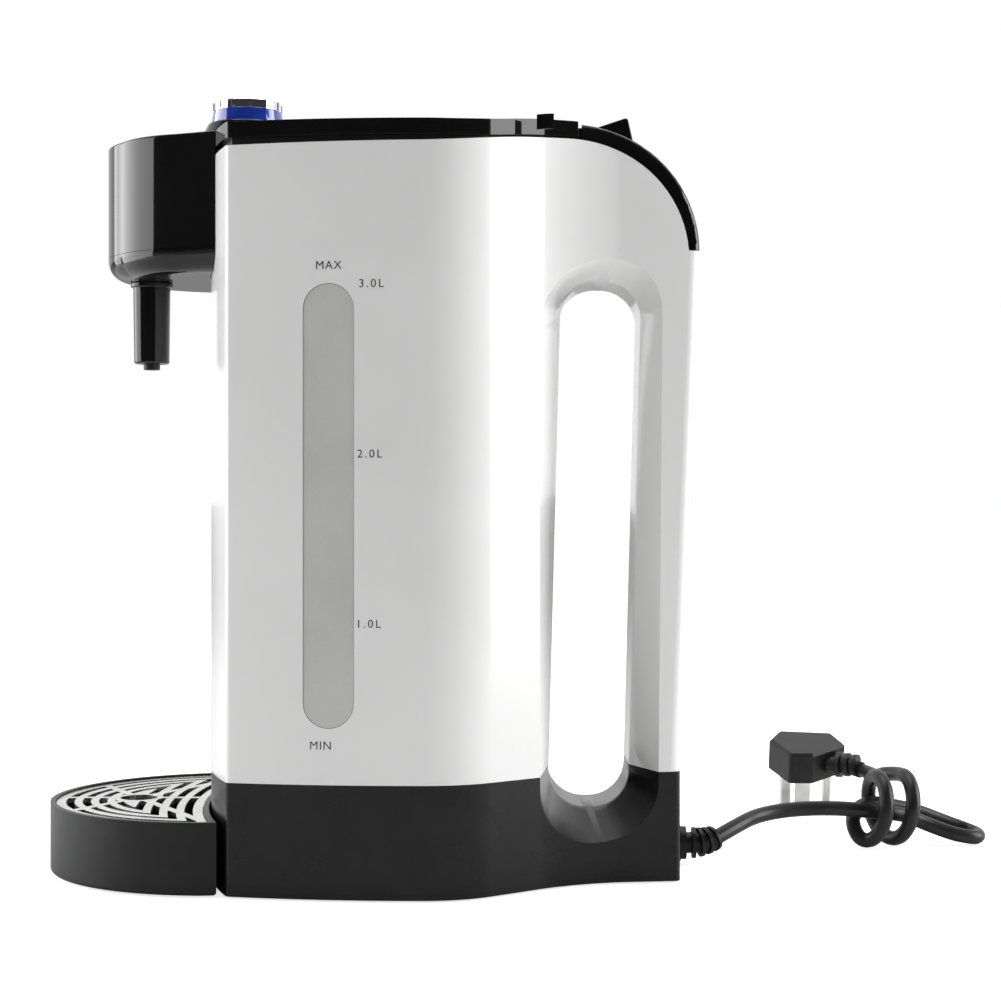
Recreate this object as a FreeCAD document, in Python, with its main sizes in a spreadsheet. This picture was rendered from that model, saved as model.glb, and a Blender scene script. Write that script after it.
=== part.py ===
import FreeCAD, Part
import math
import os
import Sketcher

# Electric thermo pot, as the separate pieces that it comes apart into.
# Millimetres, +Z up. The tap and the drip tray face -X, the carrying handle and the mains cord +X.
# Points are given from the pot's drawing line, and frame_shift puts the origin under the middle.

V = FreeCAD.Vector
UP = V(0, 0, 1)
ACROSS = V(0, 1, 0)
REARWARD = V(1, 0, 0)

SIZES = [
    # casing
    ("frame_shift", 2.55),
    ("wall", 2.5),
    ("base_underside", 0.8),
    ("seam_height", 44.8),
    ("front_crown", 69.2),
    ("half_width", 80.8),
    ("rear_foot", 123.4),
    ("front_top", 290.8),
    ("shoulder_x", 80.0),
    ("shoulder_z", 250.8),
    ("shoulder_radius", 47.0),
    ("cap_end_z", 254.6),
    ("rear_reach", 132.3),
    # black band round the lid
    ("band_bottom", 294.1),
    ("band_top", 300.3),
    ("band_rise", 4.6),
    ("band_end", 82.0),
    ("band_width", 9.5),
    # grip opening
    ("grip_front", 70.5),
    ("grip_floor", 27.2),
    ("grip_ceiling", 244.3),
    ("grip_half_throat", 17.0),
    ("rim_y", 48.0),
    # level window
    ("window_x", -15.0),
    ("window_width", 19.4),
    ("window_bottom", 66.6),
    ("window_top", 237.0),
    # tank
    ("tank_x", 1.5),
    ("tank_half_length", 65.0),
    ("tank_half_width", 75.0),
    ("tank_floor", 42.0),
    ("tank_rim", 278.0),
    ("tank_wall", 1.0),
    ("mouth_x", 20.0),
    ("mouth_radius", 44.0),
    ("step_radius", 40.0),
    # lid
    ("hinge_x", -28.0),
    ("hinge_z", 297.35),
    ("lid_gap", 0.85),
    ("plug_radius", 42.3),
    ("hinge_pin_radius", 2.0),
    # head and tap
    ("head_bottom", 245.5),
    ("head_seam", 255.0),
    ("head_top", 301.0),
    ("head_wall", 2.4),
    ("nozzle_x", -96.3),
    ("nozzle_radius", 7.8),
    ("nozzle_foot_radius", 7.4),
    ("nozzle_bottom", 211.5),
    ("nozzle_tip_radius", 3.45),
    ("nozzle_tip_bottom", 209.0),
    # knob
    ("knob_x", -55.8),
    ("knob_radius", 15.4),
    ("knob_top_radius", 14.5),
    ("knob_ring_top", 317.6),
    ("knob_top", 321.3),
    ("knob_bore", 12.6),
    ("sleeve_radius", 7.8),
    ("stem_half", 4.0),
    # drip tray
    ("tray_x", -65.4),
    ("tray_radius", 72.0),
    ("tray_top", 29.3),
    ("tray_wall", 2.2),
    ("grille_thickness", 2.2),
    ("slot_width", 3.4),
    # floor plate and feet
    ("plate_bottom", 1.8),
    ("plate_thickness", 2.6),
    ("foot_radius", 8.0),
    # cord
    ("cord_diameter", 6.5),
    ("cord_exit_z", 9.4),
]

doc = FreeCAD.newDocument("thermo_pot")
sheet = doc.addObject("Spreadsheet::Sheet", "Sizes")
for row, (alias, number) in enumerate(SIZES, start=1):
    sheet.set("A%d" % row, str(number))
    sheet.setAlias("A%d" % row, alias)
doc.recompute()

parts = []


def size(expression):
    """Value of a number, of an alias of the sheet, or of an expression of aliases."""
    if not isinstance(expression, str):
        return float(expression)
    if "Sizes." not in expression:
        return float(sheet.get(expression))
    result = sheet.evalExpression(expression)
    return float(getattr(result, "Value", result))


def place(piece, label, x=0.0, y=0.0, z=0.0, rotation=None):
    """Names a finished piece and moves it from its drawing place into the frame."""
    piece.Label = label
    spin = rotation or FreeCAD.Rotation()
    piece.Placement = FreeCAD.Placement(V(x + size("frame_shift"), y, z), spin)
    parts.append(piece)
    return piece


def solid_piece(label, shape, x=0.0, y=0.0, z=0.0):
    """A piece whose shape comes from shared outlines and cuts."""
    piece = doc.addObject("Part::Feature", label)
    piece.Shape = shape
    return place(piece, label, x, y, z)


# Sketches and bodies


def body_plane(body, role):
    return next(plane for plane in body.Origin.OriginFeatures if plane.Role == role)


def sketch_on(body, role, name, height=0.0):
    sketch = body.newObject("Sketcher::SketchObject", name)
    sketch.AttachmentSupport = [(body_plane(body, role), "")]
    sketch.MapMode = "FlatFace"
    sketch.AttachmentOffset = FreeCAD.Placement(V(0, 0, size(height)), FreeCAD.Rotation())
    if isinstance(height, str):
        sketch.setExpression("AttachmentOffset.Base.z", height)
    return sketch


def bind(sketch, constraint, expression):
    index = sketch.addConstraint(constraint)
    if isinstance(expression, str):
        sketch.setExpression("Constraints[%d]" % index, expression)


def draw_polygon(sketch, corners):
    """Closed outline whose corners are held at numbers or at expressions of the sheet."""
    points = [V(size(a), size(b), 0) for a, b in corners]
    first = sketch.GeometryCount
    count = len(points)
    for i in range(count):
        sketch.addGeometry(Part.LineSegment(points[i], points[(i + 1) % count]), False)
    for i in range(count):
        following = first + (i + 1) % count
        sketch.addConstraint(Sketcher.Constraint("Coincident", first + i, 2, following, 1))
    for i, (a, b) in enumerate(corners):
        bind(sketch, Sketcher.Constraint("DistanceX", first + i, 1, size(a)), a)
        bind(sketch, Sketcher.Constraint("DistanceY", first + i, 1, size(b)), b)


def draw_circle(sketch, x, y, radius):
    index = sketch.addGeometry(Part.Circle(V(size(x), size(y), 0), UP, size(radius)), False)
    bind(sketch, Sketcher.Constraint("DistanceX", index, 3, size(x)), x)
    bind(sketch, Sketcher.Constraint("DistanceY", index, 3, size(y)), y)
    bind(sketch, Sketcher.Constraint("Radius", index, size(radius)), radius)


def draw_ellipse(sketch, half_x, half_y):
    major = V(0, size(half_y), 0)
    minor = V(size(half_x), 0, 0)
    sketch.addGeometry(Part.Ellipse(major, minor, V(0, 0, 0)), False)


def pad(body, sketch, length, name="Pad"):
    feature = body.newObject("PartDesign::Pad", name)
    feature.Profile = sketch
    feature.Length = size(length)
    if isinstance(length, str):
        feature.setExpression("Length", length)
    return feature


def pocket(body, sketch, depth, name="Pocket", upward=False):
    """A cut below the sketch's plane, or above it."""
    feature = body.newObject("PartDesign::Pocket", name)
    feature.Profile = sketch
    feature.Length = size(depth)
    if isinstance(depth, str):
        feature.setExpression("Length", depth)
    feature.Reversed = upward
    doc.recompute()
    return feature


def turned(label, profile, x=0.0, y=0.0, z=0.0, rotation=None):
    """A round piece, turned about its own axis from (radius, height) corners."""
    body = doc.addObject("PartDesign::Body", label)
    sketch = sketch_on(body, "XZ_Plane", "Profile")
    draw_polygon(sketch, profile)
    turn = body.newObject("PartDesign::Revolution", "Turn")
    turn.Profile = sketch
    turn.ReferenceAxis = (sketch, ["V_Axis"])
    turn.Angle = 360
    doc.recompute()
    return place(body, label, size(x), size(y), size(z), rotation)


def line(a, b):
    return Part.LineSegment(V(*a), V(*b)).toShape()


def arc(a, through, b):
    return Part.Arc(V(*a), V(*through), V(*b)).toShape()


def block(low, high):
    return Part.makeBox(high[0] - low[0], high[1] - low[1], high[2] - low[2], V(*low))


def drum(radius, bottom, top, x=0.0, y=0.0):
    return Part.makeCylinder(radius, top - bottom, V(x, y, bottom))


def profile_solid(edges, half_width=100.0):
    """Solid whose side view is a closed run of edges drawn at Y = 0."""
    face = Part.Face(Part.Wire(Part.__sortEdges__(edges)))
    face.translate(V(0, -half_width, 0))
    return face.extrude(V(0, 2 * half_width, 0))


def rounded_wire(corners, radii):
    """Closed wire through flat corners, each turned by an arc of its own radius."""
    count = len(corners)
    starts = []
    edges = []
    for i in range(count):
        before = (corners[i - 1] - corners[i]).normalize()
        after = (corners[(i + 1) % count] - corners[i]).normalize()
        half = before.getAngle(after) / 2
        reach = radii[i] / math.tan(half)
        inward = (before + after).normalize()
        middle = corners[i] + inward * (radii[i] / math.sin(half) - radii[i])
        starts.append((corners[i] + before * reach, middle, corners[i] + after * reach))
    for i in range(count):
        start, middle, end = starts[i]
        edges.append(Part.Arc(start, middle, end).toShape())
        edges.append(Part.LineSegment(end, starts[(i + 1) % count][0]).toShape())
    return Part.Wire(edges)


BOW_END = (-55.67, 70.6)
CORNER_END = (-53.22, 72.68)
FLANK_END = (22.0, 80.8)
TURN_END = (47.6, 72.08)
TAPER_END = (67.0, 57.14)
SPINE_START = (99.1, 43.1)
SPINE_END = (142.0, 38.0)


def plan_wire():
    """Outline of the casing from above: bowed front, full flanks, a narrow spine behind."""
    half = [
        arc((*BOW_END, 0), (-54.74, 71.99, 0), (*CORNER_END, 0)),
        arc((*CORNER_END, 0), (-20.0, 78.4, 0), (*FLANK_END, 0)),
        arc((*FLANK_END, 0), (35.5, 78.56, 0), (*TURN_END, 0)),
        line((*TURN_END, 0), (*TAPER_END, 0)),
        arc((*TAPER_END, 0), (80.9, 49.0, 0), (*SPINE_START, 0)),
        line((*SPINE_START, 0), (*SPINE_END, 0)),
    ]
    other = [edge.mirror(V(0, 0, 0), ACROSS) for edge in half]
    front = arc((*BOW_END, 0), (-size("front_crown"), 0, 0), (BOW_END[0], -BOW_END[1], 0))
    rear = line((*SPINE_END, 0), (SPINE_END[0], -SPINE_END[1], 0))
    return Part.Wire(Part.__sortEdges__(half + other + [front, rear]))


PLAN = Part.Face(plan_wire())


def plan_solid(bottom, top, inset=0.0):
    face = PLAN if inset == 0.0 else PLAN.makeOffset2D(-inset)
    solid = face.extrude(V(0, 0, top - bottom))
    solid.translate(V(0, 0, bottom))
    return solid


def lid_curve(height, rise=None):
    """Edges of the S-shaped rise that the top takes towards the handle."""
    lift = size("band_rise") if rise is None else rise
    return [
        line((-90, 0, height), (28, 0, height)),
        arc((28, 0, height), (42, 0, height + 0.135 * lift), (55, 0, height + lift / 2)),
        arc((55, 0, height + lift / 2), (68, 0, height + 0.865 * lift), (82, 0, height + lift)),
    ]


def under_curve(height, floor, end, rise=None):
    """Everything below a top curve, down to a floor and back to an end."""
    lift = size("band_rise") if rise is None else rise
    edges = lid_curve(height, rise) + [
        line((82, 0, height + lift), (100, 0, height + lift)),
        line((100, 0, height + lift), (100, 0, floor)),
        line((100, 0, floor), (-90, 0, floor)),
        line((-90, 0, floor), (-90, 0, height)),
    ]
    return profile_solid(edges).common(block((-95, -95, floor - 5), (end, 95, height + 20)))


def grip_solid(grow=0.0):
    """The grip opening: a throat in the middle that flares out to both sides."""
    throat_y = size("grip_half_throat")
    rim_y = size("rim_y")
    front = size("grip_front") - grow
    floor = size("grip_floor") - grow
    ceiling = size("grip_ceiling") + grow
    throat = [(front, floor), (103.6 + grow, floor), (109.4 + grow, ceiling), (front + 5.5, ceiling)]
    rim = [
        (67.6 - grow, 16.2 - grow),
        (117.5 + grow, 16.2 - grow),
        (118.2 + grow, 251.5 + grow),
        (68.5 - grow, 251.5 + grow),
    ]
    reach = 64.0
    stretch = (reach - throat_y) / (rim_y - throat_y)
    outer = [
        (a[0] + (b[0] - a[0]) * stretch, a[1] + (b[1] - a[1]) * stretch)
        for a, b in zip(throat, rim)
    ]
    throat_radius = 15.4 + grow
    outer_radii = [throat_radius + (rim_radius - 15.4) * stretch for rim_radius in (24, 24, 20, 28)]
    sides = []
    for side in (-1, 1):
        near = rounded_wire([V(x, side * throat_y, z) for x, z in throat], [throat_radius] * 4)
        far = rounded_wire([V(x, side * reach, z) for x, z in outer], outer_radii)
        sides.append(Part.makeLoft([near, far], True, True))
    middle = Part.Face(
        rounded_wire([V(x, -throat_y, z) for x, z in throat], [throat_radius] * 4)
    ).extrude(V(0, 2 * throat_y, 0))
    return middle.fuse(sides)


def casing_side(offset=0.0, seam=None, open_top=False):
    """Side view of the white casing, moved inwards by an offset."""
    bottom = size("seam_height") if seam is None else seam
    shoulder_x = size("shoulder_x")
    shoulder_z = size("shoulder_z")
    radius = size("shoulder_radius") - offset
    step_z = size("cap_end_z") - offset
    step_x = shoulder_x + math.sqrt(radius**2 - (step_z - shoulder_z) ** 2)
    diagonal = radius * math.sqrt(0.5)
    lean_top = (size("rear_reach") - 1.05 * offset, 0, step_z)
    lean_bottom = (size("rear_foot") + 0.8 - 1.05 * offset, 0, bottom)
    crest = (shoulder_x, 0, shoulder_z + radius)
    edges = [
        arc(crest, (shoulder_x + diagonal, 0, shoulder_z + diagonal), (step_x, 0, step_z)),
        line((step_x, 0, step_z), lean_top),
        line(lean_top, lean_bottom),
        line(lean_bottom, (-90, 0, bottom)),
    ]
    if open_top:
        roof = 310.0
        back = (shoulder_x - 1.0, 0, shoulder_z + radius)
        edges += [
            line((-90, 0, bottom), (-90, 0, roof)),
            line((-90, 0, roof), (back[0], 0, roof)),
            line((back[0], 0, roof), back),
            line(back, crest),
        ]
        return profile_solid(edges)
    front = size("front_top")
    turn = (51.0, 0, front + 4.05)
    edges += [
        line((-90, 0, bottom), (-90, 0, front)),
        line((-90, 0, front), (22, 0, front + 1.1)),
        arc((22, 0, front + 1.1), (37, 0, front + 2.05), turn),
        arc(turn, (65, 0, front + 5.95), crest),
    ]
    return profile_solid(edges)


# Round shapes that are repeated, and coils


def turned_solid(profile):
    """Solid turned about Z from (radius, height) corners."""
    corners = [V(radius, 0, height) for radius, height in profile]
    wire = Part.makePolygon(corners + corners[:1])
    return Part.Face(wire).revolve(V(0, 0, 0), UP, 360)


def copies(label, shape, places):
    """One node of equal separate solids, one at each place."""
    solids = []
    for place_point in places:
        solid = shape.copy()
        solid.translate(V(*place_point))
        solids.append(solid)
    return solid_piece(label, Part.makeCompound(solids))


def swept_round(edges, radius):
    """Round bar along tangent runs and arcs."""
    path = Part.Wire(edges)
    first = edges[0]
    begin = first.valueAt(first.FirstParameter)
    section = Part.Wire(Part.Circle(begin, first.tangentAt(first.FirstParameter), radius).toShape())
    sweep = Part.BRepOffsetAPI.MakePipeShell(path)
    sweep.add(section)
    sweep.build()
    sweep.makeSolid()
    return sweep.shape()


def coil_solid(radius, wire_radius, bottom, top, turns):
    """Round wire wound up a drum, on quarter turns."""
    steps = 4 * turns
    first = bottom + wire_radius
    rise = (top - wire_radius - first) / steps

    def point(step):
        angle = step * math.pi / 2
        return V(radius * math.cos(angle), radius * math.sin(angle), first + rise * step)

    quarters = [Part.Arc(point(i), point(i + 0.5), point(i + 1)).toShape() for i in range(steps)]
    return swept_round(quarters, wire_radius)


def bent_tube(points, radius, share=0.45, label=""):
    """Tube on straight runs joined by the largest tangent arcs that the runs allow."""
    edges = []
    radii = []
    last = points[0]
    for before, corner, after in zip(points, points[1:], points[2:]):
        back = before - corner
        on = after - corner
        shorter = min(back.Length, on.Length)
        back.normalize()
        on.normalize()
        half = back.getAngle(on) / 2
        bend = share * shorter * math.tan(half)
        start = corner + back * (share * shorter)
        end = corner + on * (share * shorter)
        inward = (back + on).normalize()
        middle = corner + inward * (bend / math.sin(half) - bend)
        edges.append(Part.LineSegment(last, start).toShape())
        edges.append(Part.Arc(start, middle, end).toShape())
        radii.append(round(bend, 1))
        last = end
    edges.append(Part.LineSegment(last, points[-1]).toShape())
    tube = swept_round(edges, radius)
    length = sum(edge.Length for edge in edges)
    if label:
        ratio = tube.Volume / (math.pi * radius**2 * length)
        print("%s: length %.1f, volume ratio %.4f, bend radii %s" % (label, length, ratio, radii))
        lowest = min(edge.BoundBox.ZMin for edge in edges) - radius
        print("%s: least gap to itself %.2f, lowest %.2f" % (label, self_gap(edges, radius), lowest))
    return tube


def self_gap(edges, radius):
    """Least clear distance between stretches of one tube that lie further apart along it."""
    points = []
    travelled = []
    total = 0.0
    for edge in edges:
        count = max(2, int(edge.Length / 1.5))
        for k in range(count):
            span = edge.LastParameter - edge.FirstParameter
            points.append(edge.valueAt(edge.FirstParameter + span * k / count))
            travelled.append(total + edge.Length * k / count)
        total += edge.Length
    least = 1e9
    for i in range(len(points)):
        for j in range(i + 1, len(points)):
            if travelled[j] - travelled[i] > 5.0 * radius:
                least = min(least, points[i].distanceToPoint(points[j]) - 2 * radius)
    return least


# Casing

SEAM = size("seam_height")
WALL = size("wall")
GRIP = grip_solid()
GRIP_WALL = grip_solid(WALL)


def upright_rear(shape, least):
    return [e for e in shape.Edges if e.BoundBox.ZLength > least and e.BoundBox.XMin > 119]


def window_prism(grow, low_y, high_y):
    """Upright slot with round ends, cut through the flank."""
    half = size("window_width") / 2 + grow
    bottom = size("window_bottom") - grow
    top = size("window_top") + grow
    x = size("window_x")
    corners = [
        V(x - half, low_y, bottom),
        V(x + half, low_y, bottom),
        V(x + half, low_y, top),
        V(x - half, low_y, top),
    ]
    face = Part.Face(rounded_wire(corners, [half - 0.01] * 4))
    return face.extrude(V(0, high_y - low_y, 0))


HOSE_RADIUS = 3.5
RISER = (-54.5, 52.0)
NOZZLE_X = size("nozzle_x")
HOSE_POINTS = [
    V(-41.4, 39.2, 25.0),
    V(RISER[0], RISER[1], 27.0),
    V(RISER[0] - 0.3, RISER[1], 100.0),
    V(RISER[0], RISER[1], 262.0),
    V(-72.0, 38.0, 271.0),
    V(NOZZLE_X, 0, 271.0),
    V(NOZZLE_X, 0, 248.2),
]
HOSE_HOLE = bent_tube(HOSE_POINTS, HOSE_RADIUS + 0.8)


def body_shell():
    outer = plan_solid(SEAM, 305).common(casing_side())
    outer = outer.makeFillet(6.0, upright_rear(outer, 150))
    hollow = plan_solid(SEAM - 5, 310, WALL).common(casing_side(WALL, SEAM - 5, True))
    hollow = hollow.makeFillet(4.0, upright_rear(hollow, 150))
    shell = outer.cut(hollow.cut(GRIP_WALL)).cut(GRIP)
    shell = shell.cut(window_prism(0.15, -90, -60))
    shell = shell.cut(HOSE_HOLE)
    return solid_piece("body_shell", shell)


def flank_skin(outer_inset, inner_inset):
    return plan_solid(SEAM, 280, outer_inset).cut(plan_solid(SEAM - 1, 281, inner_inset))


def level_window():
    lens = flank_skin(0.3, 2.6).common(window_prism(0.0, -90, -60))
    flange = flank_skin(2.6, 4.2).common(window_prism(3.0, -90, -60))
    return solid_piece("level_window", lens.fuse(flange).removeSplitter())


BOSS_PLACES = [(-22.0, 71.5, 30.0), (108.0, 36.5, 11.5)]
HOOK_Y = 30.0


def both_sides(places):
    return [(x, side * y, z) for x, y, z in places for side in (-1, 1)]


def base_shell():
    bottom = size("base_underside")
    rear = size("rear_foot")
    outer = plan_solid(bottom, SEAM).common(block((-90, -90, -5), (rear, 90, 60)))
    outer = outer.makeFillet(2.5, upright_rear(outer, 30))
    hollow = plan_solid(bottom - 1, SEAM + 1, WALL)
    hollow = hollow.common(block((-90, -90, -5), (rear - WALL, 90, 60)))
    boss = plan_solid(bottom, SEAM, 1.0)
    shell = outer.cut(hollow.cut(GRIP_WALL))
    floor_top = size("plate_bottom") + size("plate_thickness")
    for x, y, top in both_sides(BOSS_PLACES):
        shell = shell.fuse(drum(4.2, floor_top, top, x, y).common(boss))
    shell = shell.cut(GRIP)
    for x, y, top in both_sides(BOSS_PLACES):
        shell = shell.cut(drum(1.25, floor_top - 1, top - 2, x, y))
    for side in (-1, 1):
        y = side * HOOK_Y
        shell = shell.cut(block((-75, y - 6.3, 11.7), (-55, y + 6.3, 18.3)))
    exit_hole = Part.makeCylinder(5.0, 12, V(rear - 6, 0, size("cord_exit_z")), REARWARD)
    return solid_piece("base_shell", shell.cut(exit_hole))


FOOT_PLACES = both_sides([(-44.0, 56.0, 0.0), (104.0, 22.0, 0.0)])


def bottom_plate():
    low = size("plate_bottom")
    high = low + size("plate_thickness")
    panel = plan_solid(low, high, WALL + 0.1)
    panel = panel.common(block((-90, -90, 0), (size("rear_foot") - WALL - 0.1, 90, 10)))
    for x, y, _ in FOOT_PLACES:
        panel = panel.cut(drum(4.0, 0, 10, x, y))
    for x, y, _ in both_sides(BOSS_PLACES):
        panel = panel.cut(drum(1.7, 0, 10, x, y)).cut(drum(3.2, 0, low + 1.4, x, y))
    for k in range(6):
        x = -20.0 + 9.0 * k
        panel = panel.cut(block((x, -16, 0), (x + 3, 16, 10)))
    return solid_piece("bottom_plate", panel)


def feet_and_screws():
    low = size("plate_bottom")
    high = low + size("plate_thickness")
    radius = size("foot_radius")
    foot = turned_solid([(0, 0), (radius - 0.8, 0), (radius, 0.8), (radius, low), (4, low), (4, high), (0, high)])
    copies("rubber_feet", foot, FOOT_PLACES)
    screw = turned_solid([(0, 1.9), (2.8, 1.9), (2.8, 3.2), (1.25, 3.2), (1.25, 9.4), (0, 9.4)])
    copies("base_screws", screw, [(x, y, 0) for x, y, _ in both_sides(BOSS_PLACES)])


# Tank and heating


def ellipse_solid(half_x, half_y, bottom, top):
    face = Part.Face(Part.Wire(Part.Ellipse(V(0, half_y, 0), V(half_x, 0, 0), V(0, 0, 0)).toShape()))
    solid = face.extrude(V(0, 0, top - bottom))
    solid.translate(V(size("tank_x"), 0, bottom))
    return solid


PUMP = (-30.0, 28.0)
HEATER_X = 8.0


def inner_tank():
    """Deep drawn oval tank with a flat floor and a rim turned out at the top."""
    body = doc.addObject("PartDesign::Body", "inner_tank")
    outer = sketch_on(body, "XY_Plane", "Outside", "Sizes.tank_floor")
    draw_ellipse(outer, "tank_half_length", "tank_half_width")
    pad(body, outer, "Sizes.tank_rim - Sizes.tank_floor", "Drawing")
    rim = sketch_on(body, "XY_Plane", "Rim", "Sizes.tank_rim - Sizes.tank_wall")
    draw_ellipse(rim, "Sizes.tank_half_length + 1", "Sizes.tank_half_width + 1")
    pad(body, rim, "Sizes.tank_wall", "RimPad")
    inside = sketch_on(body, "XY_Plane", "Inside", "Sizes.tank_rim")
    draw_ellipse(
        inside,
        "Sizes.tank_half_length - Sizes.tank_wall",
        "Sizes.tank_half_width - Sizes.tank_wall",
    )
    pocket(body, inside, "Sizes.tank_rim - Sizes.tank_floor - 1.5", "Hollow")
    outlet = sketch_on(body, "XY_Plane", "Outlet", "Sizes.tank_floor + 3")
    draw_circle(outlet, PUMP[0] - size("tank_x"), PUMP[1], 2.6)
    pocket(body, outlet, 5.0, "OutletHole")
    return place(body, "inner_tank", size("tank_x"))


def tank_fittings():
    rim = size("tank_rim")
    half_x = size("tank_half_length")
    half_y = size("tank_half_width")
    gasket = ellipse_solid(half_x + 1, half_y + 1, rim, rim + 1)
    gasket = gasket.cut(ellipse_solid(half_x - 2, half_y - 2, rim - 1, rim + 2))
    solid_piece("tank_gasket", gasket)
    mouth_x = size("mouth_x")
    mouth = size("mouth_radius")
    cover = ellipse_solid(half_x + 1, half_y + 1, rim + 1, rim + 3.5)
    cover = cover.fuse(drum(mouth + 2.2, rim + 2, size("band_bottom") - 0.6, mouth_x))
    cover = cover.cut(drum(mouth, rim + 3.5, 310, mouth_x))
    cover = cover.cut(drum(size("step_radius"), rim, 310, mouth_x))
    solid_piece("tank_cover", cover)
    turned("heating_plate", [(0, 36.2), (38, 36.2), (40, 38.2), (40, "Sizes.tank_floor"), (0, "Sizes.tank_floor")], HEATER_X)
    turned("thermostat", [(0, 27.5), (6, 27.5), (6, 32.5), (9, 32.5), (9, 36.2), (0, 36.2)], HEATER_X - 16)
    fuse = Part.makeCylinder(2.2, 24, V(HEATER_X + 14, -12, 34.0), ACROSS)
    solid_piece("thermal_fuse", fuse)


def pump():
    x, y = PUMP
    motor = turned_solid([(0, 5.0), (14.0, 5.0), (14.0, 19.4), (1.6, 19.4), (1.6, 17), (0, 17)])
    solid_piece("pump_motor", motor, x, y)
    hollow = drum(11.5, 21.4, 29.4, x, y)
    housing = drum(14.0, 19.4, 31.4, x, y).fuse(drum(4.4, 31.4, 37.0, x, y))
    outlet_way = (HOSE_POINTS[1] - HOSE_POINTS[0]).normalize()
    spout = Part.makeCylinder(HOSE_RADIUS, 10.0, HOSE_POINTS[0] - outlet_way * 10.0, outlet_way)
    housing = housing.fuse(spout).cut(hollow).cut(drum(2.4, 30, 40, x, y)).cut(drum(1.65, 15, 22, x, y))
    solid_piece("pump_housing", housing)
    wheel = drum(3.2, 22.2, 28.6, x, y).fuse(drum(9.6, 22.2, 23.4, x, y))
    for k in range(6):
        blade = block((2.5, -0.5, 22.2), (9.6, 0.5, 28.0))
        blade.rotate(V(0, 0, 0), UP, 60 * k)
        blade.translate(V(x, y, 0))
        wheel = wheel.fuse(blade)
    wheel = wheel.fuse(drum(1.58, 17.3, 22.3, x, y))
    solid_piece("pump_impeller", wheel)
    hose = bent_tube(HOSE_POINTS, HOSE_RADIUS, label="outlet_hose")
    solid_piece("outlet_hose", hose.cut(bent_tube(HOSE_POINTS, HOSE_RADIUS - 1.2)))
    solid_piece("inlet_hose", drum(4.4, 37.0, size("tank_floor"), x, y).cut(drum(2.4, 36, 43, x, y)))


def electrics():
    board = block((-8, -52, 8.0), (56, -8, 9.6))
    solid_piece("power_board", board)
    solid_piece("transformer", block((0, -44, 9.6), (24, -22, 28)))
    relay = block((32, -44, 9.6), (46, -30, 24))
    solid_piece("relay", relay)
    solid_piece("terminal_block", block((46, -22, 9.6), (55, -8.2, 20)))
    start = size("rear_foot") - WALL - 2.6
    leads = []
    for k in (-1, 0, 1):
        height = 13.0 + 2.6 * k
        side = [V(start, 1.8 * k, size("cord_exit_z")), V(start - 12, 1.8 * k, size("cord_exit_z"))]
        side += [V(75, -15 + 3.0 * k, 12.0 + 0.8 * k), V(55.3, -15 + 3.8 * k, height + 2)]
        leads.append(bent_tube(side, 0.9))
    solid_piece("mains_leads", Part.makeCompound(leads))
    head_board = block((-104, -14, 286), (-74, 14, 287.6))
    solid_piece("control_board", head_board)


# Top


def band_slab(bottom, top):
    """Layer between two of the rising curves of the top."""
    high = (size("band_end"), 0, top + size("band_rise"))
    low = (size("band_end"), 0, bottom + size("band_rise"))
    edges = lid_curve(top) + lid_curve(bottom)
    edges.append(line((-90, 0, bottom), (-90, 0, top)))
    edges.append(line(low, high))
    return profile_solid(edges)


BAND = band_slab(size("band_bottom"), size("band_top"))
HINGE_X = size("hinge_x")
HINGE_Z = size("hinge_z")
KNOB_X = size("knob_x")
DECK_EDGE = -33.0


def top_frame():
    ring = plan_solid(288, 310).common(BAND)
    inside = plan_solid(280, 320, size("band_width")).common(block((DECK_EDGE, -90, 280), (95, 90, 320)))
    frame = ring.cut(inside)
    frame = frame.cut(drum(size("sleeve_radius") + 0.06, 280, 320, KNOB_X))
    pin = Part.makeCylinder(size("hinge_pin_radius"), 150, V(HINGE_X, -75, HINGE_Z), ACROSS)
    keep = plan_solid(280, 320, 3.0)
    return solid_piece("top_frame", frame.cut(pin.common(keep)))


def tank_collar():
    """Black collar in the mouth of the casing, under the band and round the filling neck."""
    top = size("band_bottom")
    rear = size("shoulder_x") - 1.3
    outer = plan_solid(283, 320, WALL + 0.1).common(under_curve(top, 283.0, rear))
    hollow = plan_solid(270, 320, WALL + 2.6).common(under_curve(top - 2.2, 270.0, rear - 2.4))
    neck = drum(size("mouth_radius") + 2.4, 270, 320, size("mouth_x"))
    collar = outer.cut(hollow).cut(neck)
    collar = collar.cut(drum(10.2, 280, 310, KNOB_X))
    collar = collar.cut(bent_tube(HOSE_POINTS, HOSE_RADIUS + 0.8))
    return solid_piece("tank_collar", collar)


def lid_outline(bottom, top):
    return plan_solid(bottom, top, size("band_width") + size("lid_gap"))


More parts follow.
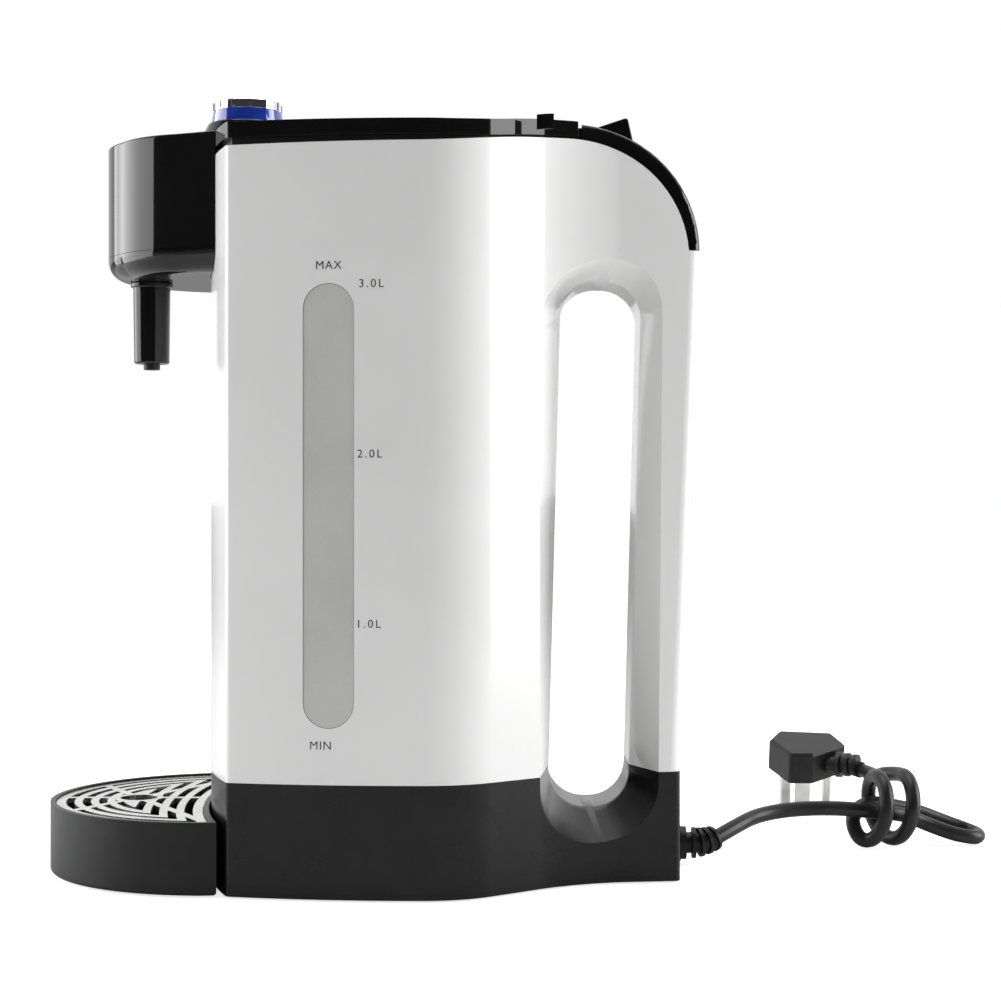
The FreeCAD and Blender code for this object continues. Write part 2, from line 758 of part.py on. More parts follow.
def lid():
    underside = size("band_bottom") + 0.3
    slab = band_slab(underside, size("band_top"))
    rear = size("band_end") - 0.1
    outline = lid_outline(280, 320)
    nose_radius = (size("band_top") - underside) / 2
    nose = Part.makeCylinder(nose_radius, 160, V(HINGE_X, -80, HINGE_Z), ACROSS)
    panel = slab.common(block((HINGE_X, -90, 280), (rear, 90, 320))).fuse(nose).common(outline)
    pin_hole = Part.makeCylinder(size("hinge_pin_radius") + 0.05, 160, V(HINGE_X, -80, HINGE_Z), ACROSS)
    middle = block((HINGE_X - 5, -56, 290), (HINGE_X + 5, 56, 305))
    panel = panel.cut(pin_hole.cut(middle))
    vent_top = size("band_top")
    panel = panel.cut(drum(9.1, vent_top - 2.0, vent_top + 2, 6.0))
    solid_piece("lid_panel", panel)
    vent = drum(9.0, vent_top - 2.0, vent_top + 0.2, 6.0)
    for k in range(4):
        x = 6.0 - 5.3 + 3.0 * k
        vent = vent.cut(block((x, -5, vent_top - 1.2), (x + 1.4, 5, vent_top + 2)))
    solid_piece("steam_vent", vent)
    mouth_x = size("mouth_x")
    plug_radius = size("plug_radius")
    plug = drum(plug_radius, 283.5, 310, mouth_x).common(under_curve(underside, 280.0, 95))
    plug = plug.cut(drum(plug_radius - 4, 280, 291, mouth_x))
    solid_piece("lid_inner_cover", plug)
    gasket = drum(plug_radius, 281.8, 283.5, mouth_x).cut(drum(plug_radius - 3.7, 280, 290, mouth_x))
    solid_piece("lid_gasket", gasket)
    pin = Part.makeCylinder(size("hinge_pin_radius"), 16.5, V(0, 0, 0), ACROSS)
    copies("lid_hinge_pins", pin, [(HINGE_X, 57.0, HINGE_Z), (HINGE_X, -57.0 - 16.5, HINGE_Z)])


def cap_side(grow=0.0, inner=True):
    """Side view of the tail cap, or of everything under its outer face."""
    x = size("shoulder_x")
    z = size("shoulder_z")
    end_z = size("cap_end_z")
    front = size("band_end") + 1.4
    outer_start = (front, 0, z + 53.5 + grow)
    outer_end = (size("rear_reach") - 0.8 + grow, 0, end_z)
    reach = (53.5 + grow) * math.sqrt(0.5)
    edges = [arc(outer_start, (x + reach, 0, z + reach), outer_end)]
    if inner:
        radius = size("shoulder_radius") + 0.15
        start = (front, 0, z + math.sqrt(radius**2 - (front - x) ** 2))
        end = (x + math.sqrt(radius**2 - (end_z - z) ** 2), 0, end_z)
        half = radius * math.sqrt(0.5)
        edges.append(arc(start, (x + half, 0, z + half), end))
        edges += [line(start, outer_start), line(end, outer_end)]
    else:
        edges += [line(outer_start, (front, 0, end_z)), line((front, 0, end_z), outer_end)]
    return profile_solid(edges)


def tail_cap():
    cap = plan_solid(240, 320).common(cap_side())
    rounded = []
    for edge in cap.Edges:
        box = edge.BoundBox
        middle = edge.valueAt((edge.FirstParameter + edge.LastParameter) / 2)
        from_centre = math.hypot(middle.x - size("shoulder_x"), middle.z - size("shoulder_z"))
        if from_centre > 51.0 and box.XLength > 5 and box.YLength < 20:
            rounded.append(edge)
    cap = cap.makeFillet(3.2, rounded)
    lip = block((82.05, -60, 297.95), (83.6, 60, 302.4)).common(plan_solid(290, 310, 0.6))
    cap = cap.fuse(lip).removeSplitter()
    channel = block((81.9, -8.4, 299.4), (96, 8.4, 302.6))
    slot = block((86.0, -5.4, 299.4), (95.4, 5.4, 310))
    return solid_piece("tail_cap", cap.cut(channel).cut(slot))


def lid_release():
    half_width = 15.0
    corners = [(87.0, 290), (87.0, 307.4), (102.9, 312.7), (104.0, 312.1), (109.0, 290)]
    edges = []
    for i in range(len(corners)):
        a = corners[i]
        b = corners[(i + 1) % len(corners)]
        edges.append(line((a[0], 0, a[1]), (b[0], 0, b[1])))
    tab = profile_solid(edges, half_width).cut(cap_side(0.45, inner=False))
    stem = block((87.0, -5.0, 300), (91.4, 5.0, 306))
    bolt = block((82.4, -8.0, 299.8), (91.4, 8.0, 302.2))
    return solid_piece("lid_release", tab.fuse(stem).fuse(bolt).removeSplitter())


# Knob


def knob():
    x = KNOB_X
    deck = size("band_top")
    top = size("head_top")
    radius = "Sizes.knob_radius"
    turned(
        "knob_bezel",
        [
            ("Sizes.knob_radius + 0.3", top),
            (22.0, top),
            (18.9, top + 6.4),
            (16.6, top + 11.0),
            ("Sizes.knob_radius + 0.3", top + 11.4),
        ],
        x,
    )
    turned(
        "knob_ring",
        [
            ("Sizes.knob_bore", deck + 4.4),
            (radius, deck + 4.4),
            (radius, top + 11.2),
            ("Sizes.knob_top_radius", "Sizes.knob_ring_top"),
            ("Sizes.knob_bore", "Sizes.knob_ring_top"),
        ],
        x,
    )
    crown_top = size("knob_top")
    ring_top = size("knob_ring_top")
    crown = turned_solid(
        [
            (0, ring_top - 2.0),
            (12.5, ring_top - 2.0),
            (12.5, ring_top),
            (14.15, ring_top),
            (14.15, crown_top - 0.35),
            (13.8, crown_top),
            (11.4, crown_top),
            (10.8, crown_top - 1.2),
            (0, crown_top - 1.2),
        ]
    )
    for k in range(12):
        rib = block((13.0, -0.55, ring_top + 0.3), (14.5, 0.55, crown_top - 0.35))
        rib.rotate(V(0, 0, 0), UP, 30 * k + 12)
        crown = crown.fuse(rib)
    half = size("stem_half")
    stem = block((-half, -half, deck - 6.0), (half, half, ring_top))
    crown = crown.fuse(stem)
    solid_piece("knob_crown", crown, x)
    sleeve_radius = size("sleeve_radius")
    sleeve = turned_solid(
        [
            (0, deck - 5.9),
            (sleeve_radius, deck - 5.9),
            (sleeve_radius, deck + 0.3),
            (11.5, deck + 0.3),
            (11.5, deck + 1.9),
            (sleeve_radius, deck + 1.9),
            (sleeve_radius, deck + 8.0),
            (0, deck + 8.0),
        ]
    )
    bore = half + 0.1
    sleeve = sleeve.cut(block((-bore, -bore, deck - 10), (bore, bore, deck + 20)))
    solid_piece("knob_sleeve", sleeve, x)
    solid_piece("knob_spring", coil_solid(9.6, 0.5, deck + 1.9, ring_top - 2.0, 5), x)
    floor = size("tank_rim") + 3.5
    switch = block((x - 9.2, -3.2, floor), (x + 9.2, 3.2, floor + 7.0))
    switch = switch.fuse(drum(1.2, floor + 6, deck - 9.3, x))
    solid_piece("dispense_switch", switch)


# Head and tap


HEAD_END = (-62.3, 51.6)


def head_face(inset=0.0):
    half = [
        arc((-105.0, 24.0, 0), (-94.5, 36.2, 0), (-80.0, 43.6, 0)),
        arc((-80.0, 43.6, 0), (-71.2, 47.3, 0), (*HEAD_END, 0)),
    ]
    other = [edge.mirror(V(0, 0, 0), ACROSS) for edge in half]
    tip = arc((-105.0, -24.0, 0), (-114.0, 0, 0), (-105.0, 24.0, 0))
    crown = (-size("front_crown") - 0.35, 0, 0)
    back = arc((*HEAD_END, 0), crown, (HEAD_END[0], -HEAD_END[1], 0))
    face = Part.Face(Part.Wire(Part.__sortEdges__(half + other + [tip, back])))
    return face.makeOffset2D(-inset) if inset else face


def head_solid(bottom, top, inset=0.0):
    solid = head_face(inset).extrude(V(0, 0, top - bottom))
    solid.translate(V(0, 0, bottom))
    return solid


def outer_rim(shape, height):
    """Edges of the head at a height, without the ones against the casing."""
    chosen = []
    for edge in shape.Edges:
        box = edge.BoundBox
        if box.ZLength < 0.01 and abs(box.ZMin - height) < 0.01 and box.YLength < 100:
            chosen.append(edge)
    return chosen


def head():
    bottom = size("head_bottom")
    seam = size("head_seam")
    top = size("head_top")
    wall = size("head_wall")
    upper = head_solid(seam, top)
    upper = upper.makeFillet(1.2, outer_rim(upper, top))
    upper = upper.cut(head_solid(seam - 1, top - wall, wall))
    upper = upper.cut(bent_tube(HOSE_POINTS, HOSE_RADIUS + 0.8))
    solid_piece("head_housing", upper)
    lower = head_solid(bottom, seam - 0.15)
    lower = lower.makeFillet(8.5, outer_rim(lower, bottom))
    inner = head_solid(bottom + wall, seam + 2, wall)
    inner = inner.makeFillet(6.1, outer_rim(inner, bottom + wall))
    lower = lower.cut(inner).cut(drum(size("nozzle_radius") + 0.1, 230, 260, NOZZLE_X))
    solid_piece("head_lower_cover", lower)
    nozzle_bottom = size("nozzle_bottom")
    turned(
        "nozzle_sleeve",
        [
            (4.0, nozzle_bottom),
            ("Sizes.nozzle_foot_radius - 0.6", nozzle_bottom),
            ("Sizes.nozzle_foot_radius", nozzle_bottom + 0.6),
            ("Sizes.nozzle_radius", bottom - 1.8),
            ("Sizes.nozzle_radius + 1", bottom - 1.8),
            ("Sizes.nozzle_radius + 1", bottom - 0.05),
            ("Sizes.nozzle_radius", bottom - 0.05),
            ("Sizes.nozzle_radius", bottom + 4.0),
            ("Sizes.nozzle_radius - 1.6", bottom + 4.0),
            ("Sizes.nozzle_foot_radius - 1.6", nozzle_bottom + 2.0),
            (4.0, nozzle_bottom + 2.0),
        ],
        NOZZLE_X,
    )
    tip = "Sizes.nozzle_tip_radius"
    turned(
        "nozzle_tip",
        [
            (2.2, "Sizes.nozzle_tip_bottom"),
            (tip, "Sizes.nozzle_tip_bottom"),
            (tip, 248.2),
            (2.2, 248.2),
        ],
        NOZZLE_X,
    )


# Drip tray


def tray_face(inset=0.0):
    x = size("tray_x")
    radius = size("tray_radius")
    rear = -58.9
    edges = [
        arc((x, -radius, 0), (x - radius, 0, 0), (x, radius, 0)),
        line((x, radius, 0), (rear, radius - 0.6, 0)),
        arc((rear, radius - 0.6, 0), (-size("front_crown") - 0.5, 0, 0), (rear, 0.6 - radius, 0)),
        line((rear, 0.6 - radius, 0), (x, -radius, 0)),
    ]
    face = Part.Face(Part.Wire(Part.__sortEdges__(edges)))
    return face.makeOffset2D(-inset) if inset else face


def tray_solid(bottom, top, inset=0.0):
    solid = tray_face(inset).extrude(V(0, 0, top - bottom))
    solid.translate(V(0, 0, bottom))
    return solid


GRILLE_HOLE_X = -101.7


def drip_tray():
    low = size("base_underside")
    top = size("tray_top")
    wall = size("tray_wall")
    seat = top - 0.8 - size("grille_thickness")
    tray = tray_solid(low, top)
    tray = tray.makeFillet(1.6, [e for e in tray.Edges if e.BoundBox.ZMax < low + 0.01])
    tray = tray.cut(tray_solid(seat, top + 1, wall)).cut(tray_solid(low + 2.2, seat + 1, wall + 1.6))
    for side in (-1, 1):
        y = side * HOOK_Y
        tray = tray.fuse(block((-70.5, y - 6, 12), (-61.0, y + 6, 18)))
    tray = tray.cut(tray_solid(low + 2.2, seat + 1, wall + 1.6))
    solid_piece("drip_tray", tray)
    thickness = size("grille_thickness")
    grille = tray_solid(seat, seat + thickness, wall + 0.25)
    bars = []
    for k in range(3):
        bar = block((-90, -1.8, seat - 2), (90, 1.8, seat + 6))
        bar.rotate(V(0, 0, 0), UP, 60 * k)
        bar.translate(V(GRILLE_HOLE_X, 0, 0))
        bars.append(bar)
    keep = drum(10.3, seat - 2, seat + 6, GRILLE_HOLE_X).fuse(bars)
    width = size("slot_width")
    for k in range(4):
        inset = 6.4 + 6.7 * k
        slot = tray_solid(seat - 1, seat + 5, inset).cut(tray_solid(seat - 2, seat + 6, inset + width))
        grille = grille.cut(slot.cut(keep))
    grille = grille.cut(drum(7.75, seat - 1, seat + 5, GRILLE_HOLE_X))
    solid_piece("drip_grille", grille)


# Mains cord

CORD_RADIUS = size("cord_diameter") / 2
WRAP_CENTRE = V(215.3, 42.0, 17.6)
WRAP_ALONG = V(0.95, 0.31, 0).normalize()
WRAP_BACK = V(-0.31, 0.95, 0).normalize()
WRAP_RADIUS = 14.9
WRAP_PITCH = 13.0
WRAP_STEP = 45.0


def wrap_point(angle):
    """Corner of the wrap round the two strands, at an angle that falls from the back down."""
    turn = math.radians(angle)
    along = WRAP_PITCH * (-angle - 180.0) / 360.0
    side = WRAP_BACK * (WRAP_RADIUS * math.cos(turn))
    return WRAP_CENTRE + WRAP_ALONG * along + side + UP * (WRAP_RADIUS * math.sin(turn))


CORD_POINTS = [
    V(141.8, 1.2, 11.0),
    V(152.0, 9.0, 15.2),
    V(163.2, 24.0, 17.5),
    V(181.0, 31.5, 19.0),
    V(202.5, 35.5, 18.5),
    V(218.3, 38.0, 16.2),
    V(230.0, 43.8, 14.6),
    V(241.0, 47.5, 9.6),
    V(252.5, 46.5, 5.4),
    V(262.5, 47.0, 3.5),
    V(266.5, 54.0, 3.6),
    V(261.5, 60.5, 5.2),
    V(251.0, 59.5, 9.0),
    V(239.0, 56.5, 14.0),
    V(225.0, 51.6, 17.5),
    V(213.0, 46.5, 19.4),
    V(206.5, 43.0, 13.4),
    V(208.8, 38.5, 4.6),
]
CORD_POINTS += [wrap_point(-110.0 - WRAP_STEP * k) for k in range(13)]
CORD_POINTS += [
    V(222.0, 64.0, 29.5),
    V(228.5, 82.0, 24.5),
    V(231.5, 98.0, 22.4),
    V(229.8, 111.0, 22.8),
    V(225.6, 121.5, 23.6),
]
PLUG_CENTRE = V(202.0, 140.0, 20.9)
PLUG_TILT = 15.0


def strain_relief():
    start = V(size("rear_foot"), 0, size("cord_exit_z"))
    end = CORD_POINTS[0]
    leave = (CORD_POINTS[0] - CORD_POINTS[1]).normalize()
    flange = Part.makeCylinder(7.8, 3.4, start, REARWARD)
    neck = Part.makeCylinder(4.8, WALL + 2.6, start - REARWARD * (WALL + 2.6), REARWARD)
    boot = flange.fuse(neck).fuse(Part.makeCylinder(6.9, 2.4, start + REARWARD * 3.4, REARWARD))
    spine = bent_tube([start + REARWARD * 2, start + REARWARD * 9.5, end], 4.4)
    boot = boot.fuse(spine)
    for k in range(4):
        share = k / 3.0
        along = REARWARD * (1 - share) - leave * share
        base = start + REARWARD * (8.4 + 2.7 * k) + (V(0, 0.9, 1.2) * share * share)
        rib = Part.makeCylinder(6.5 - 0.35 * k, 1.5, base, along.normalize())
        boot = boot.fuse(rib)
    trim = Part.makeCylinder(20, 20, end, leave * -1)
    return solid_piece("strain_relief", boot.cut(trim))


def plug():
    tilt = FreeCAD.Rotation(V(1, 0, 0), PLUG_TILT)
    corners = [(-11, -16), (0, -16), (18, -2), (13.5, 13), (-12.5, 16), (-18.7, 4)]
    height = 15.0
    wire = rounded_wire([V(x, y, 0) for x, y in corners], [2.2] * 6)
    body = Part.Face(wire).extrude(V(0, 0, height))
    top_edges = [e for e in body.Edges if e.BoundBox.ZMin > height - 0.01]
    body = body.makeChamfer(1.4, top_edges)
    held = FreeCAD.Placement(PLUG_CENTRE, tilt)
    body.Placement = held
    end = CORD_POINTS[-1]
    leave = (CORD_POINTS[-2] - end).normalize()
    root = V(210.5, 130.0, 25.6)
    boot = bent_tube([root, root + V(7.0, -3.4, 0.1), end], 3.9)
    for k in range(3):
        centre = root + V(4.4 + 3.6 * k, -2.0 - 2.0 * k, 0.1 * k)
        boot = boot.fuse(Part.makeCylinder(6.2 - 0.5 * k, 2.2, centre, V(0.88, -0.47, 0)))
    trim = Part.makeCylinder(20, 20, end, leave)
    solid_piece("plug_body", body.fuse(boot.cut(trim)))
    pins = []
    for x, y, width, depth in [(-3.4, -9.5, 7.0, 4.0), (9.8, 0.5, 3.4, 6.4), (-9.3, 8.5, 4.6, 7.8)]:
        pin = block((x - width / 2, y - depth / 2, -40), (x + width / 2, y + depth / 2, 0))
        pin.Placement = held
        pins.append(pin.common(block((100, 60, 0.05), (300, 240, 60))))
    solid_piece("plug_pins", Part.makeCompound(pins))


body_shell()
level_window()
base_shell()
bottom_plate()
feet_and_screws()
inner_tank()
tank_fittings()
pump()
electrics()
tank_collar()
top_frame()
lid()
tail_cap()
lid_release()
knob()
head()
drip_tray()
strain_relief()
solid_piece("power_cord", bent_tube(CORD_POINTS, CORD_RADIUS, label="power_cord"))
plug()

doc.recompute()
for item in doc.Objects:
    if "Invalid" in item.State or "Error" in item.State:
        raise RuntimeError("%s did not compute: %s" % (item.Label, item.State))
for piece in parts:
    if piece.Shape.isNull() or not piece.Shape.isValid():
        raise RuntimeError("%s has no sound shape" % piece.Label)

os.makedirs("parts", exist_ok=True)
whole = FreeCAD.BoundBox()
for piece in parts:
    piece.Shape.exportStep("parts/%s.step" % piece.Label)
    if piece.Label not in ("strain_relief", "power_cord", "plug_body", "plug_pins"):
        whole.add(piece.Shape.optimalBoundingBox(False))
print("pieces %d, box %s" % (len(parts), whole))
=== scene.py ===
"""Looks of the electric thermo pot: finishes, printed scale, mains cord, camera and light."""

import logging
import math
from dataclasses import dataclass, field
from enum import Enum

import bmesh
import bpy
from mathutils import Matrix, Vector
from mathutils.bvhtree import BVHTree


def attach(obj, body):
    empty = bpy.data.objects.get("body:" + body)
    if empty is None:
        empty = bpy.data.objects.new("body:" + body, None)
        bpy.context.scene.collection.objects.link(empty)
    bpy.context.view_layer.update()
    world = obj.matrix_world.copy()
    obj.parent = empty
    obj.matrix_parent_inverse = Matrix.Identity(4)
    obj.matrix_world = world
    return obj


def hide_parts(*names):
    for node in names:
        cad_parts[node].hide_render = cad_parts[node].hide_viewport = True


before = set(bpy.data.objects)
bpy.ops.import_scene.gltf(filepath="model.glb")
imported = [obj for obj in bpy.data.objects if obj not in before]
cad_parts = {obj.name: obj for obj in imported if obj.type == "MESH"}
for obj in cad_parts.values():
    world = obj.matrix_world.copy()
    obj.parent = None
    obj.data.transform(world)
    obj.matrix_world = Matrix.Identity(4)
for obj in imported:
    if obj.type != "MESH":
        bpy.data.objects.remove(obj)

LOG = logging.getLogger("thermo_pot")
MM = 0.001
FRAME_SHIFT = 2.55
"""Millimetres from the pot's drawing line to the middle of its outline."""


def at(x: float, y: float, z: float) -> Vector:
    """Point of the drawing line, in millimetres, as a point of the frame in metres.

    Args:
        x: Millimetres along the pot, before the frame's shift.
        y: Millimetres across.
        z: Millimetres up.

    Returns:
        The point in the shared frame.
    """
    return Vector(((x + FRAME_SHIFT) * MM, y * MM, z * MM))


class Body(Enum):
    """Rigid bodies that the pieces ride on."""

    POT = "pot"
    LID = "lid"
    RELEASE = "release"
    KNOB_CORE = "knob_core"
    KNOB_HEAD = "knob_head"
    TRAY = "tray"
    GRILLE = "grille"
    PUMP_WHEEL = "pump_wheel"


class Lay(Enum):
    """Direction that a brushed or drawn grain runs in."""

    ACROSS = (1.0, 0.05, 1.0)
    UPRIGHT = (1.0, 1.0, 0.05)
    EVEN = (1.0, 1.0, 1.0)


# Finishes


@dataclass(frozen=True)
class Finish:
    """A moulded, cast or drawn surface.

    Attributes:
        name: Name of the material.
        slot: Slot of the record that the finish stands for. Not used.
        light: Colour of the lighter patches, linear.
        dark: Colour of the darker patches, linear.
        roughness: Least and greatest roughness.
        metallic: 1 for bare metal.
        coat: Weight of the clear top layer.
        coat_roughness: Roughness of the clear top layer.
        patch: Patches a metre in the colour.
        grain: Grains a metre in the surface.
        relief: Depth of the grain, from 0 to 1.
        lay: Direction of the grain.
        specular: Strength of the dielectric reflection.
        transmission: Share of the light that passes through.
        ior: Index of refraction.
    """

    name: str
    slot: str
    light: tuple[float, float, float]
    dark: tuple[float, float, float]
    roughness: tuple[float, float] = (0.3, 0.4)
    metallic: float = 0.0
    coat: float = 0.0
    coat_roughness: float = 0.03
    patch: float = 30.0
    grain: float = 1500.0
    relief: float = 0.05
    lay: Lay = Lay.EVEN
    specular: float = 0.5
    transmission: float = 0.0
    ior: float = 1.5

    def material(self) -> bpy.types.Material:
        """Makes the material once, and hands the same one out after that.

        Returns:
            The material.
        """
        title = self.name + "_finish"  # the solids' own materials bear the slots' names
        known = bpy.data.materials.get(title)
        if known:
            return known
        made = bpy.data.materials.new(title)
        made.use_nodes = True
        tree = made.node_tree
        shader = tree.nodes["Principled BSDF"]
        shader.inputs["Metallic"].default_value = self.metallic
        shader.inputs["Coat Weight"].default_value = self.coat
        shader.inputs["Coat Roughness"].default_value = self.coat_roughness
        shader.inputs["Specular IOR Level"].default_value = self.specular
        shader.inputs["Transmission Weight"].default_value = self.transmission
        shader.inputs["IOR"].default_value = self.ior
        place = tree.nodes.new("ShaderNodeTexCoord")
        self._colour(tree, place, shader)
        self._surface(tree, place, shader)
        return made

    def _colour(self, tree: bpy.types.NodeTree, place: bpy.types.Node, shader: bpy.types.Node) -> None:
        """Joins the two colours by soft patches.

        Args:
            tree: Nodes of the material.
            place: Texture coordinates.
            shader: The shader that takes the colour.
        """
        patches = tree.nodes.new("ShaderNodeTexNoise")
        patches.inputs["Scale"].default_value = self.patch
        patches.inputs["Detail"].default_value = 3.0
        ramp = tree.nodes.new("ShaderNodeValToRGB")
        ramp.color_ramp.elements[0].position = 0.35
        ramp.color_ramp.elements[0].color = (*self.dark, 1.0)
        ramp.color_ramp.elements[1].position = 0.65
        ramp.color_ramp.elements[1].color = (*self.light, 1.0)
        tree.links.new(place.outputs["Object"], patches.inputs["Vector"])
        tree.links.new(patches.outputs["Fac"], ramp.inputs["Fac"])
        tree.links.new(ramp.outputs["Color"], shader.inputs["Base Color"])

    def _surface(self, tree: bpy.types.NodeTree, place: bpy.types.Node, shader: bpy.types.Node) -> None:
        """Gives the surface its grain, in roughness and in relief.

        Args:
            tree: Nodes of the material.
            place: Texture coordinates.
            shader: The shader that takes the roughness and the normal.
        """
        along = tree.nodes.new("ShaderNodeMapping")
        along.inputs["Scale"].default_value = self.lay.value
        grain = tree.nodes.new("ShaderNodeTexNoise")
        grain.inputs["Scale"].default_value = self.grain
        grain.inputs["Detail"].default_value = 2.0
        spread = tree.nodes.new("ShaderNodeMapRange")
        spread.inputs["To Min"].default_value = self.roughness[0]
        spread.inputs["To Max"].default_value = self.roughness[1]
        bump = tree.nodes.new("ShaderNodeBump")
        bump.inputs["Strength"].default_value = self.relief
        bump.inputs["Distance"].default_value = 0.0001
        tree.links.new(place.outputs["Object"], along.inputs["Vector"])
        tree.links.new(along.outputs["Vector"], grain.inputs["Vector"])
        tree.links.new(grain.outputs["Fac"], spread.inputs["Value"])
        tree.links.new(spread.outputs["Result"], shader.inputs["Roughness"])
        tree.links.new(grain.outputs["Fac"], bump.inputs["Height"])
        tree.links.new(bump.outputs["Normal"], shader.inputs["Normal"])


WHITE_CASING = Finish(
    "white_casing", "white_casing", (0.86, 0.86, 0.857), (0.83, 0.83, 0.827),
    (0.16, 0.22), coat=0.35, patch=14.0, grain=500.0, relief=0.012,
)
GAUGE_LENS = Finish(
    "gauge_lens", "gauge_lens", (0.60, 0.60, 0.595), (0.54, 0.54, 0.535),
    (0.22, 0.30), coat=0.1, patch=22.0, grain=900.0, relief=0.02,
)
CHARCOAL_BASE = Finish(
    "charcoal_base", "charcoal_base", (0.010, 0.010, 0.0105), (0.007, 0.007, 0.0075),
    (0.20, 0.28), patch=60.0, grain=2600.0, relief=0.04, specular=0.28,
)
PIANO_BLACK = Finish(
    "piano_black", "piano_black", (0.006, 0.006, 0.0065), (0.003, 0.003, 0.0035),
    (0.05, 0.08), patch=20.0, grain=700.0, relief=0.004, specular=0.42,
)
SATIN_BLACK = Finish(
    "satin_black", "satin_black", (0.014, 0.014, 0.0145), (0.009, 0.009, 0.0095),
    (0.34, 0.44), patch=70.0, grain=3000.0, relief=0.10, specular=0.3,
)
FOOT_RUBBER = Finish(
    "foot_rubber", "foot_rubber", (0.03, 0.03, 0.03), (0.018, 0.018, 0.018),
    (0.7, 0.85), patch=150.0, grain=4000.0, relief=0.25,
)
ZINC_STEEL = Finish(
    "zinc_steel", "zinc_steel", (0.62, 0.62, 0.60), (0.48, 0.48, 0.47),
    (0.25, 0.40), 1.0, patch=220.0, grain=2500.0, relief=0.08,
)
TANK_STEEL = Finish(
    "tank_steel", "tank_steel", (0.70, 0.70, 0.69), (0.60, 0.60, 0.59),
    (0.18, 0.34), 1.0, patch=25.0, grain=2200.0, relief=0.06, lay=Lay.UPRIGHT,
)
GRILLE_STEEL = Finish(
    "grille_steel", "grille_steel", (0.72, 0.72, 0.71), (0.60, 0.60, 0.60),
    (0.20, 0.36), 1.0, patch=90.0, grain=2600.0, relief=0.07, lay=Lay.ACROSS,
)
SILICONE = Finish(
    "silicone", "silicone", (0.70, 0.70, 0.68), (0.60, 0.60, 0.58),
    (0.45, 0.6), patch=120.0, grain=1800.0, relief=0.05, transmission=0.25,
)
NATURAL_PLASTIC = Finish(
    "natural_plastic", "natural_plastic", (0.74, 0.73, 0.69), (0.66, 0.65, 0.61),
    (0.35, 0.5), patch=60.0, grain=2000.0, relief=0.08,
)
CAST_HEATER = Finish(
    "cast_heater", "cast_heater", (0.60, 0.60, 0.60), (0.42, 0.42, 0.42),
    (0.45, 0.65), 1.0, patch=300.0, grain=1500.0, relief=0.4,
)
PHENOLIC = Finish(
    "phenolic", "phenolic", (0.11, 0.045, 0.025), (0.06, 0.025, 0.014),
    (0.3, 0.45), patch=250.0, grain=2500.0, relief=0.1,
)
CIRCUIT_BOARD = Finish(
    "circuit_board", "circuit_board", (0.03, 0.20, 0.07), (0.012, 0.10, 0.035),
    (0.2, 0.32), coat=0.5, patch=420.0, grain=1200.0, relief=0.15,
)
BLACK_COMPONENT = Finish(
    "black_component", "black_component", (0.03, 0.03, 0.032), (0.015, 0.015, 0.016),
    (0.35, 0.5), patch=300.0, grain=3000.0, relief=0.2,
)
LEAD_INSULATION = Finish(
    "lead_insulation", "lead_insulation", (0.10, 0.16, 0.55), (0.32, 0.14, 0.05),
    (0.35, 0.5), patch=95.0, grain=2500.0, relief=0.05,
)
BLUE_RING = Finish(
    "blue_ring", "blue_ring", (0.010, 0.055, 0.50), (0.006, 0.030, 0.34),
    (0.10, 0.16), coat=1.0, patch=70.0, grain=900.0, relief=0.02,
)
CHROME_CROWN = Finish(
    "chrome_crown", "chrome_crown", (0.86, 0.86, 0.87), (0.78, 0.78, 0.79),
    (0.03, 0.07), 1.0, patch=150.0, grain=1500.0, relief=0.01,
)
CORD_BLACK = Finish(
    "cord_black", "cord_black", (0.018, 0.018, 0.018), (0.010, 0.010, 0.010),
    (0.30, 0.38), patch=120.0, grain=2400.0, relief=0.10, specular=0.3,
)
PLUG_BLACK = Finish(
    "plug_black", "plug_black", (0.016, 0.016, 0.0165), (0.009, 0.009, 0.0095),
    (0.36, 0.46), patch=160.0, grain=3200.0, relief=0.22, specular=0.3,
)
PIN_METAL = Finish(
    "pin_metal", "pin_metal", (0.80, 0.80, 0.79), (0.68, 0.68, 0.67),
    (0.12, 0.24), 1.0, patch=160.0, grain=2600.0, relief=0.05, lay=Lay.UPRIGHT,
)
SCALE_INK = Finish(
    "scale_ink", "white_casing", (0.035, 0.035, 0.035), (0.02, 0.02, 0.02),
    (0.4, 0.5), patch=500.0, grain=3000.0, relief=0.1,
)


# Shared modelling


def link(name: str, mesh: bpy.types.Mesh, finish: Finish) -> bpy.types.Object:
    """Puts a finished mesh into the scene with its material.

    Args:
        name: Name of the piece.
        mesh: Its mesh, in place.
        finish: Its finish.

    Returns:
        The piece.
    """
    piece = bpy.data.objects.new(name, mesh)
    bpy.context.scene.collection.objects.link(piece)
    mesh.materials.clear()
    mesh.materials.append(finish.material())
    return piece


def soften(piece: bpy.types.Object, width: float, angle: float = 32.0, segments: int = 2) -> None:
    """Rounds a piece's edges a little and shades the rest smooth.

    Args:
        piece: The piece.
        width: Width of the rounding, in millimetres.
        angle: Least turn of an edge that is rounded, in degrees.
        segments: Faces across the rounding.
    """
    piece.data.shade_smooth()
    bevel = piece.modifiers.new("edges", "BEVEL")
    bevel.width = width * MM
    bevel.segments = segments
    bevel.limit_method = "ANGLE"
    bevel.angle_limit = math.radians(angle)
    bevel.use_clamp_overlap = True
    bevel.harden_normals = True
    even = piece.modifiers.new("normals", "WEIGHTED_NORMAL")
    even.keep_sharp = True


